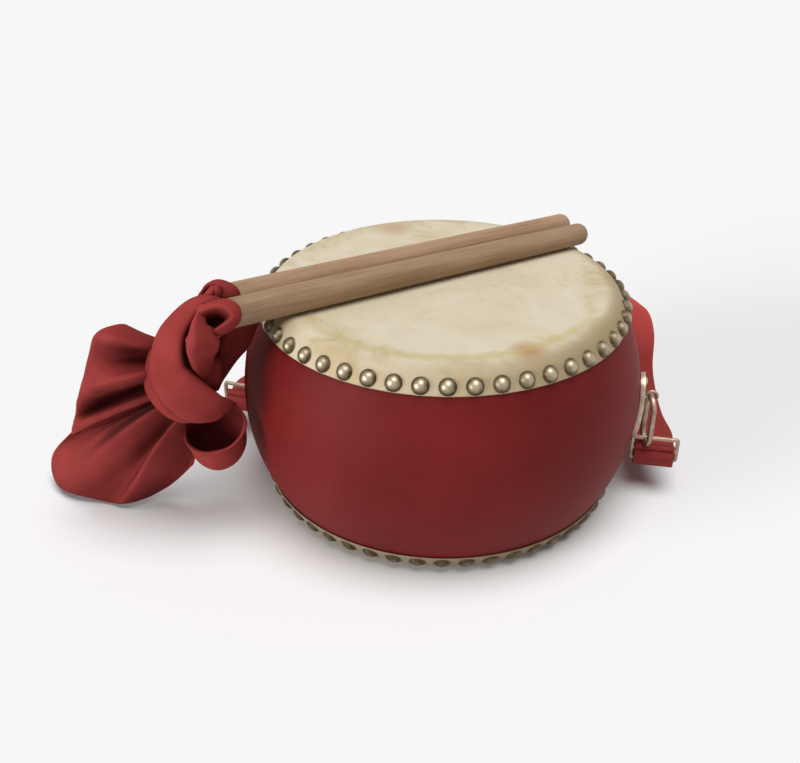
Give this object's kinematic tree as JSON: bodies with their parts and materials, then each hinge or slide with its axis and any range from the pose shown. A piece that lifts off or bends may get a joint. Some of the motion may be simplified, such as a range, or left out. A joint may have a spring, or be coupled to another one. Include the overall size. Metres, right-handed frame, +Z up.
{
  "type": "barrel drum with sticks",
  "caption": "Low barrel drum with two tacked hide heads, hinged strap rings and sliders, a webbing carry strap, and a pair of turned sticks tied in a cloth sash",
  "frame": {"origin": "centre of the bottom head's flat face, where the drum stands", "axes": "+Z up along the drum's axis, +X towards the strap fitting on the side away from the sash, -Y towards the front"},
  "size_m": [0.407, 0.3013, 0.1583],
  "materials": {
    "red_lacquer": "satin lacquer",
    "hide": "matte",
    "tack_brass": "antique",
    "strap_brass": "antique",
    "pin_steel": "satin",
    "red_webbing": "woven",
    "stick_wood": "bare, sanded",
    "sash_cloth": "matte"
  },
  "bodies": {
    "drum": {"drum_shell": "red_lacquer", "top_head": "hide", "bottom_head": "hide", "top_tacks": "tack_brass", "bottom_tacks": "tack_brass", "right_ring_plate": "strap_brass", "right_upper_nail": "strap_brass", "right_lower_nail": "strap_brass", "right_split_pin": "strap_brass", "right_washer": "pin_steel", "left_ring_plate": "strap_brass", "left_upper_nail": "strap_brass", "left_lower_nail": "strap_brass", "left_split_pin": "strap_brass", "left_washer": "pin_steel", "strap_band": "red_webbing"},
    "right_ring_link": {"right_ring": "strap_brass"},
    "left_ring_link": {"left_ring": "strap_brass"},
    "right_strap_end": {"right_slider": "strap_brass", "strap_right_end": "red_webbing"},
    "left_strap_end": {"left_slider": "strap_brass", "strap_left_end": "red_webbing"},
    "sash": {"sash_front_loop": "sash_cloth", "sash_back_loop": "sash_cloth", "sash_knot": "sash_cloth", "sash_upper_bow": "sash_cloth", "sash_lower_tail": "sash_cloth", "sash_side_bow": "sash_cloth", "sash_hanging_strip": "sash_cloth"},
    "stick_front": {"front_stick": "stick_wood"},
    "stick_back": {"back_stick": "stick_wood"}
  },
  "joints": [
    {"name": "right_ring_swing", "type": "hinge", "parent": "drum", "child": "right_ring_link", "pos_m": [0.13059, -0.02303, 0.0694], "axis": [-0.1736, -0.9848, 0], "range_deg": [0, 110], "deforming": ["strap_band"]},
    {"name": "right_slider_swing", "type": "hinge", "parent": "right_ring_link", "child": "right_strap_end", "pos_m": [0.13679, -0.02412, 0.039], "axis": [0.9848, -0.1736, 0], "range_deg": [-20, 20], "deforming": ["strap_band"]},
    {"name": "left_ring_swing", "type": "hinge", "parent": "drum", "child": "left_ring_link", "pos_m": [-0.12746, 0.03655, 0.0694], "axis": [0.2756, 0.9613, 0], "range_deg": [0, 110], "deforming": ["strap_band"]},
    {"name": "left_slider_swing", "type": "hinge", "parent": "left_ring_link", "child": "left_strap_end", "pos_m": [-0.13352, 0.03829, 0.039], "axis": [-0.9613, 0.2756, 0], "range_deg": [-20, 20], "deforming": ["strap_band"]},
    {"name": "sticks_lift", "type": "slide", "parent": "drum", "child": "sash", "axis": [0, 0, 1], "range_m": [0, 0.2]},
    {"name": "front_stick_draw", "type": "slide", "parent": "sash", "child": "stick_front", "axis": [0.8692, 0.4944, -0.0056], "range_m": [0, 0.03]},
    {"name": "back_stick_draw", "type": "slide", "parent": "sash", "child": "stick_back", "axis": [0.8692, 0.4944, -0.0056], "range_m": [0, 0.03]}
  ]
}
